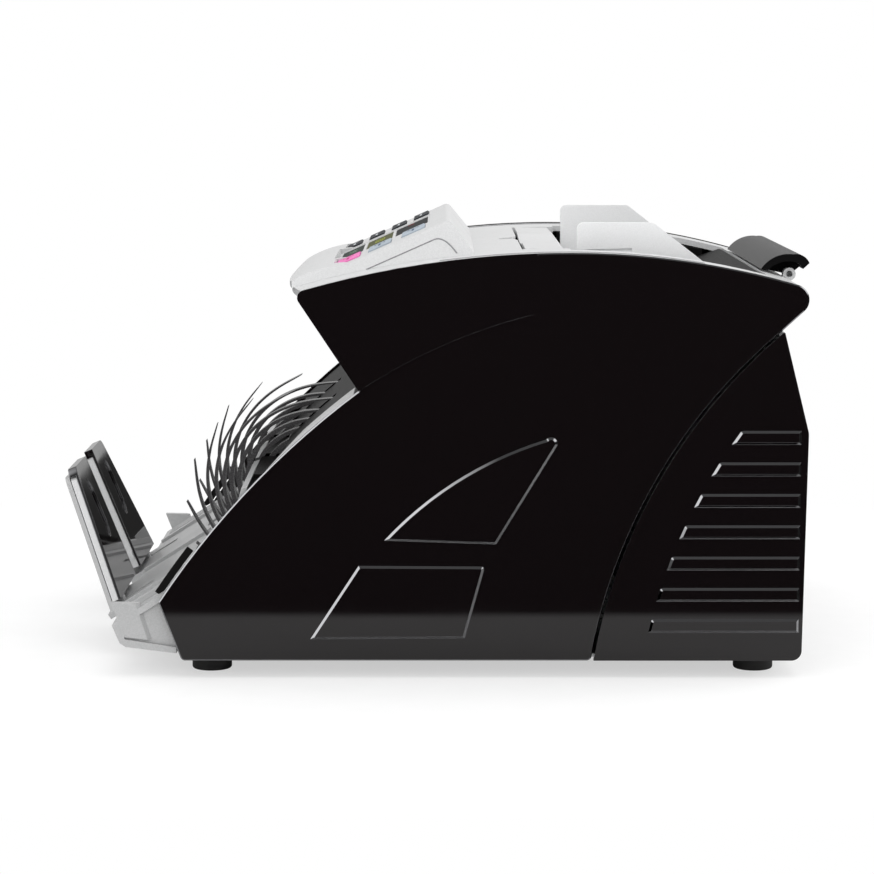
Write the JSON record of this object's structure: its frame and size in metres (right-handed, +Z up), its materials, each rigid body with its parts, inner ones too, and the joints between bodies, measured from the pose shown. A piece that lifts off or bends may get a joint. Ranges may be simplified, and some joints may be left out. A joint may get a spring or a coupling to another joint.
{
  "type": "banknote counting machine",
  "caption": "Desktop banknote counter with gloss black side covers, silver top and console, rear hopper, bladed stacker wheels and a sloping front stacker.",
  "frame": {"origin": "centre of the bounding box on the plane that the four rubber feet stand on", "axes": "+X across the machine to the operator's right as seen facing it, +Y from the stacker front to the back, +Z up"},
  "size_m": [0.25, 0.306, 0.1776],
  "materials": {
    "gloss_black": "high gloss",
    "silver_plastic": "satin silver paint",
    "dark_plastic": "semi gloss",
    "rubber": "matte",
    "steel": "zinc plated",
    "display_glass": "glossy tinted window",
    "circuit_board": "solder mask",
    "key_pink": "satin",
    "key_pale": "satin",
    "key_dark": "satin",
    "switch_red": "satin"
  },
  "bodies": {
    "chassis": {"right_side_cover": "gloss_black", "left_side_cover": "gloss_black", "rear_cover": "gloss_black", "top_cover": "silver_plastic", "console_housing": "silver_plastic", "display_frame": "silver_plastic", "display_windows": "display_glass", "control_boards": "circuit_board", "front_panel": "dark_plastic", "front_cheek": "silver_plastic", "exit_plate": "dark_plastic", "drive_guards": "dark_plastic", "stacker_tray": "silver_plastic", "main_motor": "steel", "drive_belts": "rubber", "shaft_bearings": "steel", "right_side_frame": "steel", "left_side_frame": "steel", "tie_bars": "steel", "base_pan": "steel", "rubber_feet": "rubber", "cover_screws": "steel", "hopper_floor": "dark_plastic", "hopper_apron": "silver_plastic", "pinion_bracket": "steel", "retard_pad": "rubber", "main_board": "circuit_board", "transformer": "steel", "power_inlet": "dark_plastic", "switch_housing": "dark_plastic", "sensor_set": "dark_plastic"},
    "right_guide": {"right_note_guide": "silver_plastic"},
    "left_guide": {"left_note_guide": "silver_plastic"},
    "pinion": {"guide_pinion": "dark_plastic"},
    "carry_handle": {"handle_grip": "gloss_black", "handle_pins": "steel"},
    "right_stop": {"right_stopper": "silver_plastic", "right_stopper_face": "gloss_black"},
    "left_stop": {"left_stopper": "silver_plastic", "left_stopper_face": "gloss_black"},
    "stacker": {"stacker_shaft": "steel", "right_stacker_wheel": "dark_plastic", "left_stacker_wheel": "dark_plastic"},
    "transport": {"transport_shaft": "steel", "transport_rollers": "rubber"},
    "pinch": {"pinch_rollers": "rubber"},
    "feed": {"feed_shaft": "steel", "feed_rollers": "rubber"},
    "pickup": {"pickup_shaft": "steel", "pickup_rollers": "rubber"},
    "motor_rotor": {"motor_pulley": "dark_plastic"},
    "power_switch": {"power_rocker": "switch_red"},
    "feed_gap_knob": {"gap_knob": "dark_plastic"},
    "button_1": {"key_1": "key_pink"},
    "button_2": {"key_2": "key_pale"},
    "button_3": {"key_3": "key_pale"},
    "button_4": {"key_4": "key_dark"},
    "button_5": {"key_5": "key_dark"},
    "button_6": {"key_6": "key_dark"},
    "button_7": {"key_7": "key_dark"}
  },
  "joints": [
    {"name": "right_guide_slide", "type": "slide", "parent": "chassis", "child": "right_guide", "axis": [1, 0, 0], "range_m": [-0.027, 0.006]},
    {"name": "left_guide_slide", "type": "slide", "parent": "chassis", "child": "left_guide", "axis": [1, 0, 0], "range_m": [-0.006, 0.027]},
    {"name": "pinion_turn", "type": "hinge", "parent": "chassis", "child": "pinion", "pos_m": [0, 0.106, 0.14], "axis": [0, 0, 1], "range_deg": [-262, 62]},
    {"name": "handle_lift", "type": "hinge", "parent": "chassis", "child": "carry_handle", "pos_m": [0, 0.1455, 0.1552], "axis": [-1, 0, 0], "range_deg": [0, 75]},
    {"name": "button_1_press", "type": "slide", "parent": "chassis", "child": "button_1", "axis": [0, -0.4039, 0.9148], "range_m": [-0.0015, 0], "stiffness_N_per_m": 400},
    {"name": "button_2_press", "type": "slide", "parent": "chassis", "child": "button_2", "axis": [0, -0.4039, 0.9148], "range_m": [-0.0015, 0], "stiffness_N_per_m": 400},
    {"name": "button_3_press", "type": "slide", "parent": "chassis", "child": "button_3", "axis": [0, -0.4039, 0.9148], "range_m": [-0.0015, 0], "stiffness_N_per_m": 400},
    {"name": "button_4_press", "type": "slide", "parent": "chassis", "child": "button_4", "axis": [0, -0.4039, 0.9148], "range_m": [-0.0015, 0], "stiffness_N_per_m": 400},
    {"name": "button_5_press", "type": "slide", "parent": "chassis", "child": "button_5", "axis": [0, -0.4039, 0.9148], "range_m": [-0.0015, 0], "stiffness_N_per_m": 400},
    {"name": "button_6_press", "type": "slide", "parent": "chassis", "child": "button_6", "axis": [0, -0.4039, 0.9148], "range_m": [-0.0015, 0], "stiffness_N_per_m": 400},
    {"name": "button_7_press", "type": "slide", "parent": "chassis", "child": "button_7", "axis": [0, -0.4039, 0.9148], "range_m": [-0.0015, 0], "stiffness_N_per_m": 400},
    {"name": "right_stop_slide", "type": "slide", "parent": "chassis", "child": "right_stop", "axis": [0, 0.8435, 0.5372], "range_m": [0, 0.012]},
    {"name": "left_stop_slide", "type": "slide", "parent": "chassis", "child": "left_stop", "axis": [0, 0.8435, 0.5372], "range_m": [0, 0.012]},
    {"name": "stacker_spin", "type": "hinge", "parent": "chassis", "child": "stacker", "pos_m": [0, -0.0569, 0.0582], "axis": [1, 0, 0], "continuous": true},
    {"name": "transport_spin", "type": "hinge", "parent": "chassis", "child": "transport", "pos_m": [0, 0.002, 0.092], "axis": [1, 0, 0], "continuous": true},
    {"name": "pinch_spin", "type": "hinge", "parent": "chassis", "child": "pinch", "pos_m": [0, -0.0115, 0.1099], "axis": [1, 0, 0], "continuous": true},
    {"name": "feed_spin", "type": "hinge", "parent": "chassis", "child": "feed", "pos_m": [0, 0.04, 0.118], "axis": [1, 0, 0], "continuous": true},
    {"name": "pickup_spin", "type": "hinge", "parent": "chassis", "child": "pickup", "pos_m": [0, 0.078, 0.129], "axis": [1, 0, 0], "continuous": true},
    {"name": "motor_spin", "type": "hinge", "parent": "chassis", "child": "motor_rotor", "pos_m": [0, 0.085, 0.042], "axis": [1, 0, 0], "continuous": true},
    {"name": "switch_rock", "type": "hinge", "parent": "chassis", "child": "power_switch", "pos_m": [-0.027, 0.1418, 0.036], "axis": [0, 0, 1], "range_deg": [-11, 0]},
    {"name": "feed_gap_turn", "type": "hinge", "parent": "chassis", "child": "feed_gap_knob", "pos_m": [0, 0.0315, 0.1578], "axis": [1, 0, 0], "range_deg": [-150, 150]}
  ],
  "couplings": [
    {"joint": "left_guide_slide", "follows": "right_guide_slide", "ratio": -1},
    {"joint": "pinion_turn", "follows": "right_guide_slide", "rad_per_m": 166.67},
    {"joint": "transport_spin", "follows": "stacker_spin", "ratio": 1.5},
    {"joint": "pinch_spin", "follows": "stacker_spin", "ratio": -2.625},
    {"joint": "feed_spin", "follows": "stacker_spin", "ratio": 1.5},
    {"joint": "pickup_spin", "follows": "stacker_spin", "ratio": 1.875},
    {"joint": "motor_spin", "follows": "stacker_spin", "ratio": 2.25}
  ]
}
